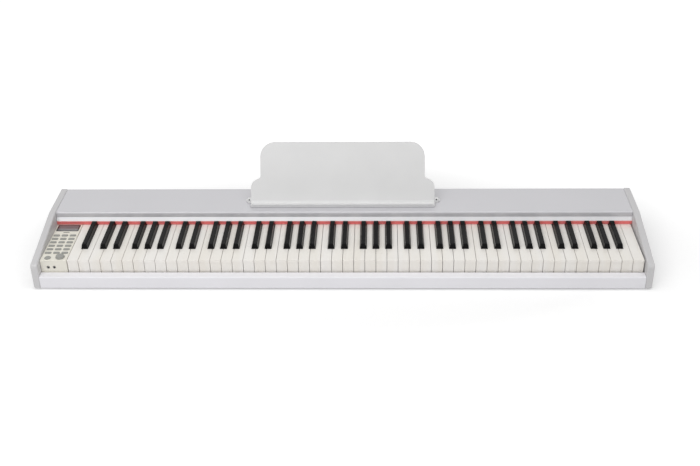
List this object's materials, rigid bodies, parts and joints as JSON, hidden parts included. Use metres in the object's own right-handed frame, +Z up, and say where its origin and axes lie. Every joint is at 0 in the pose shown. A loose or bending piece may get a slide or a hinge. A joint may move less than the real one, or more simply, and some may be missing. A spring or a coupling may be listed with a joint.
{
  "type": "digital piano",
  "caption": "Slim white digital piano in a board cabinet, with tilting keys, a control panel at the bass end and a folding music stand.",
  "frame": {"origin": "on the floor under the middle of the cabinet: the bottom centre of the bounding box", "axes": "+X along the keys towards the treble end, +Y to the back, +Z up"},
  "size_m": [1.3116, 0.284, 0.2219],
  "materials": {
    "satin_white": "satin white lacquer on fibreboard",
    "panel_white": "fine satin white moulding",
    "stand_white": "satin white moulding",
    "key_white": "warm white, soft gloss",
    "key_black": "black, soft satin sheen",
    "felt_red": "red wool felt",
    "button_grey": "warm grey, matt",
    "display_grey": "dark grey display window",
    "dark_plastic": "black, fine grain",
    "tray_grey": "grey moulding",
    "board_green": "green board with black parts",
    "steel": "plain steel",
    "rubber": "black rubber"
  },
  "bodies": {
    "cabinet": {"bottom_board": "satin_white", "control_panel": "panel_white", "display_window": "display_grey", "fall_rail": "panel_white", "front_left_foot": "rubber", "front_right_foot": "rubber", "key_bed": "tray_grey", "key_felt": "felt_red", "key_slip": "satin_white", "left_cheek": "satin_white", "left_speaker": "dark_plastic", "left_stand_bracket": "stand_white", "left_stand_pin": "steel", "main_circuit_board": "board_green", "phone_jack_block": "dark_plastic", "rear_board": "satin_white", "rear_connector_plate": "dark_plastic", "rear_left_foot": "rubber", "rear_right_foot": "rubber", "right_cheek": "satin_white", "right_speaker": "dark_plastic", "right_stand_bracket": "stand_white", "right_stand_pin": "steel", "top_board": "satin_white"},
    "music_stand": {"music_stand": "stand_white"},
    "volume_knob": {"volume_knob": "button_grey"},
    "round_button": {"round_button": "button_grey"},
    "left_button_strip": {"left_button_strip": "button_grey"},
    "middle_button_strip": {"middle_button_strip": "button_grey"},
    "right_button_strip": {"right_button_strip": "button_grey"},
    "key_c4": {"key_c4": "key_white"},
    "key_c_sharp4": {"key_c_sharp4": "key_black"},
    "key_d4": {"key_d4": "key_white"},
    "key_d_sharp4": {"key_d_sharp4": "key_black"},
    "key_e4": {"key_e4": "key_white"},
    "key_f4": {"key_f4": "key_white"},
    "key_f_sharp4": {"key_f_sharp4": "key_black"},
    "key_g4": {"key_g4": "key_white"},
    "key_g_sharp4": {"key_g_sharp4": "key_black"},
    "key_a4": {"key_a4": "key_white"},
    "key_a_sharp4": {"key_a_sharp4": "key_black"},
    "key_b4": {"key_b4": "key_white"},
    "white_comb_cegb_1": {"white_comb_cegb_1": "key_white"},
    "white_comb_dfa_1": {"white_comb_dfa_1": "key_white"},
    "black_comb_1": {"black_comb_1": "key_black"},
    "white_comb_cegb_2": {"white_comb_cegb_2": "key_white"},
    "white_comb_dfa_2": {"white_comb_dfa_2": "key_white"},
    "black_comb_2": {"black_comb_2": "key_black"},
    "white_comb_cegb_3": {"white_comb_cegb_3": "key_white"},
    "white_comb_dfa_3": {"white_comb_dfa_3": "key_white"},
    "black_comb_3": {"black_comb_3": "key_black"},
    "white_comb_cegb_5": {"white_comb_cegb_5": "key_white"},
    "white_comb_dfa_5": {"white_comb_dfa_5": "key_white"},
    "black_comb_5": {"black_comb_5": "key_black"},
    "white_comb_cegb_6": {"white_comb_cegb_6": "key_white"},
    "white_comb_dfa_6": {"white_comb_dfa_6": "key_white"},
    "black_comb_6": {"black_comb_6": "key_black"},
    "white_comb_cegb_7": {"white_comb_cegb_7": "key_white"},
    "white_comb_dfa_7": {"white_comb_dfa_7": "key_white"},
    "black_comb_7": {"black_comb_7": "key_black"}
  },
  "joints": [
    {"name": "stand_fold", "type": "hinge", "parent": "cabinet", "child": "music_stand", "pos_m": [0, 0.07901, 0.096], "axis": [-1, 0, 0], "range_deg": [0, 70]},
    {"name": "volume_turn", "type": "hinge", "parent": "cabinet", "child": "volume_knob", "pos_m": [-0.60015, -0.107, 0.0603], "axis": [0, 0, -1], "range_deg": [-140, 140]},
    {"name": "round_button_press", "type": "slide", "parent": "cabinet", "child": "round_button", "axis": [0, 0, -1], "range_m": [0, 0.0008], "stiffness_N_per_m": 700, "springref_m": -0.0008},
    {"name": "left_buttons_press", "type": "slide", "parent": "cabinet", "child": "left_button_strip", "axis": [0, 0, -1], "range_m": [0, 0.0008], "stiffness_N_per_m": 900, "springref_m": -0.0008},
    {"name": "middle_buttons_press", "type": "slide", "parent": "cabinet", "child": "middle_button_strip", "axis": [0, 0, -1], "range_m": [0, 0.0008], "stiffness_N_per_m": 900, "springref_m": -0.0008},
    {"name": "right_buttons_press", "type": "slide", "parent": "cabinet", "child": "right_button_strip", "axis": [0, 0, -1], "range_m": [0, 0.0008], "stiffness_N_per_m": 900, "springref_m": -0.0008},
    {"name": "key_c4_press", "type": "hinge", "parent": "cabinet", "child": "key_c4", "pos_m": [-0.03555, 0.078, 0.049], "axis": [1, 0, 0], "range_deg": [0, 2.9], "stiffness_Nm_per_rad": 1.2, "springref_deg": -5.16},
    {"name": "key_c_sharp4_press", "type": "hinge", "parent": "cabinet", "child": "key_c_sharp4", "pos_m": [-0.0215, 0.078, 0.049], "axis": [1, 0, 0], "range_deg": [0, 2.9], "stiffness_Nm_per_rad": 1.2, "springref_deg": -5.16},
    {"name": "key_d4_press", "type": "hinge", "parent": "cabinet", "child": "key_d4", "pos_m": [-0.0072, 0.078, 0.049], "axis": [1, 0, 0], "range_deg": [0, 2.9], "stiffness_Nm_per_rad": 1.2, "springref_deg": -5.16},
    {"name": "key_d_sharp4_press", "type": "hinge", "parent": "cabinet", "child": "key_d_sharp4", "pos_m": [0.0071, 0.078, 0.049], "axis": [1, 0, 0], "range_deg": [0, 2.9], "stiffness_Nm_per_rad": 1.2, "springref_deg": -5.16},
    {"name": "key_e4_press", "type": "hinge", "parent": "cabinet", "child": "key_e4", "pos_m": [0.02115, 0.078, 0.049], "axis": [1, 0, 0], "range_deg": [0, 2.9], "stiffness_Nm_per_rad": 1.2, "springref_deg": -5.16},
    {"name": "key_f4_press", "type": "hinge", "parent": "cabinet", "child": "key_f4", "pos_m": [0.03431, 0.078, 0.049], "axis": [1, 0, 0], "range_deg": [0, 2.9], "stiffness_Nm_per_rad": 1.2, "springref_deg": -5.16},
    {"name": "key_f_sharp4_press", "type": "hinge", "parent": "cabinet", "child": "key_f_sharp4", "pos_m": [0.04772, 0.078, 0.049], "axis": [1, 0, 0], "range_deg": [0, 2.9], "stiffness_Nm_per_rad": 1.2, "springref_deg": -5.16},
    {"name": "key_g4_press", "type": "hinge", "parent": "cabinet", "child": "key_g4", "pos_m": [0.06139, 0.078, 0.049], "axis": [1, 0, 0], "range_deg": [0, 2.9], "stiffness_Nm_per_rad": 1.2, "springref_deg": -5.16},
    {"name": "key_g_sharp4_press", "type": "hinge", "parent": "cabinet", "child": "key_g_sharp4", "pos_m": [0.07505, 0.078, 0.049], "axis": [1, 0, 0], "range_deg": [0, 2.9], "stiffness_Nm_per_rad": 1.2, "springref_deg": -5.16},
    {"name": "key_a4_press", "type": "hinge", "parent": "cabinet", "child": "key_a4", "pos_m": [0.08871, 0.078, 0.049], "axis": [1, 0, 0], "range_deg": [0, 2.9], "stiffness_Nm_per_rad": 1.2, "springref_deg": -5.16},
    {"name": "key_a_sharp4_press", "type": "hinge", "parent": "cabinet", "child": "key_a_sharp4", "pos_m": [0.10237, 0.078, 0.049], "axis": [1, 0, 0], "range_deg": [0, 2.9], "stiffness_Nm_per_rad": 1.2, "springref_deg": -5.16},
    {"name": "key_b4_press", "type": "hinge", "parent": "cabinet", "child": "key_b4", "pos_m": [0.11579, 0.078, 0.049], "axis": [1, 0, 0], "range_deg": [0, 2.9], "stiffness_Nm_per_rad": 1.2, "springref_deg": -5.16},
    {"name": "white_comb_cegb_1_press", "type": "hinge", "parent": "cabinet", "child": "white_comb_cegb_1", "pos_m": [-0.45996, 0.078, 0.049], "axis": [1, 0, 0], "range_deg": [0, 2.9], "stiffness_Nm_per_rad": 6, "springref_deg": -5.16},
    {"name": "white_comb_dfa_1_press", "type": "hinge", "parent": "cabinet", "child": "white_comb_dfa_1", "pos_m": [-0.49061, 0.078, 0.049], "axis": [1, 0, 0], "range_deg": [0, 2.9], "stiffness_Nm_per_rad": 4.8, "springref_deg": -5.16},
    {"name": "black_comb_1_press", "type": "hinge", "parent": "cabinet", "child": "black_comb_1", "pos_m": [-0.47337, 0.078, 0.049], "axis": [1, 0, 0], "range_deg": [0, 2.9], "stiffness_Nm_per_rad": 7.2, "springref_deg": -5.16},
    {"name": "white_comb_cegb_2_press", "type": "hinge", "parent": "cabinet", "child": "white_comb_cegb_2", "pos_m": [-0.2892, 0.078, 0.049], "axis": [1, 0, 0], "range_deg": [0, 2.9], "stiffness_Nm_per_rad": 4.8, "springref_deg": -5.16},
    {"name": "white_comb_dfa_2_press", "type": "hinge", "parent": "cabinet", "child": "white_comb_dfa_2", "pos_m": [-0.28856, 0.078, 0.049], "axis": [1, 0, 0], "range_deg": [0, 2.9], "stiffness_Nm_per_rad": 3.6, "springref_deg": -5.16},
    {"name": "black_comb_2_press", "type": "hinge", "parent": "cabinet", "child": "black_comb_2", "pos_m": [-0.28856, 0.078, 0.049], "axis": [1, 0, 0], "range_deg": [0, 2.9], "stiffness_Nm_per_rad": 6, "springref_deg": -5.16},
    {"name": "white_comb_cegb_3_press", "type": "hinge", "parent": "cabinet", "child": "white_comb_cegb_3", "pos_m": [-0.1247, 0.078, 0.049], "axis": [1, 0, 0], "range_deg": [0, 2.9], "stiffness_Nm_per_rad": 4.8, "springref_deg": -5.16},
    {"name": "white_comb_dfa_3_press", "type": "hinge", "parent": "cabinet", "child": "white_comb_dfa_3", "pos_m": [-0.12406, 0.078, 0.049], "axis": [1, 0, 0], "range_deg": [0, 2.9], "stiffness_Nm_per_rad": 3.6, "springref_deg": -5.16},
    {"name": "black_comb_3_press", "type": "hinge", "parent": "cabinet", "child": "black_comb_3", "pos_m": [-0.12406, 0.078, 0.049], "axis": [1, 0, 0], "range_deg": [0, 2.9], "stiffness_Nm_per_rad": 6, "springref_deg": -5.16},
    {"name": "white_comb_cegb_5_press", "type": "hinge", "parent": "cabinet", "child": "white_comb_cegb_5", "pos_m": [0.2043, 0.078, 0.049], "axis": [1, 0, 0], "range_deg": [0, 2.9], "stiffness_Nm_per_rad": 4.8, "springref_deg": -5.16},
    {"name": "white_comb_dfa_5_press", "type": "hinge", "parent": "cabinet", "child": "white_comb_dfa_5", "pos_m": [0.20494, 0.078, 0.049], "axis": [1, 0, 0], "range_deg": [0, 2.9], "stiffness_Nm_per_rad": 3.6, "springref_deg": -5.16},
    {"name": "black_comb_5_press", "type": "hinge", "parent": "cabinet", "child": "black_comb_5", "pos_m": [0.20494, 0.078, 0.049], "axis": [1, 0, 0], "range_deg": [0, 2.9], "stiffness_Nm_per_rad": 6, "springref_deg": -5.16},
    {"name": "white_comb_cegb_6_press", "type": "hinge", "parent": "cabinet", "child": "white_comb_cegb_6", "pos_m": [0.3688, 0.078, 0.049], "axis": [1, 0, 0], "range_deg": [0, 2.9], "stiffness_Nm_per_rad": 4.8, "springref_deg": -5.16},
    {"name": "white_comb_dfa_6_press", "type": "hinge", "parent": "cabinet", "child": "white_comb_dfa_6", "pos_m": [0.36944, 0.078, 0.049], "axis": [1, 0, 0], "range_deg": [0, 2.9], "stiffness_Nm_per_rad": 3.6, "springref_deg": -5.16},
    {"name": "black_comb_6_press", "type": "hinge", "parent": "cabinet", "child": "black_comb_6", "pos_m": [0.36944, 0.078, 0.049], "axis": [1, 0, 0], "range_deg": [0, 2.9], "stiffness_Nm_per_rad": 6, "springref_deg": -5.16},
    {"name": "white_comb_cegb_7_press", "type": "hinge", "parent": "cabinet", "child": "white_comb_cegb_7", "pos_m": [0.54505, 0.078, 0.049], "axis": [1, 0, 0], "range_deg": [0, 2.9], "stiffness_Nm_per_rad": 6, "springref_deg": -5.16},
    {"name": "white_comb_dfa_7_press", "type": "hinge", "parent": "cabinet", "child": "white_comb_dfa_7", "pos_m": [0.53394, 0.078, 0.049], "axis": [1, 0, 0], "range_deg": [0, 2.9], "stiffness_Nm_per_rad": 3.6, "springref_deg": -5.16},
    {"name": "black_comb_7_press", "type": "hinge", "parent": "cabinet", "child": "black_comb_7", "pos_m": [0.53394, 0.078, 0.049], "axis": [1, 0, 0], "range_deg": [0, 2.9], "stiffness_Nm_per_rad": 6, "springref_deg": -5.16}
  ]
}
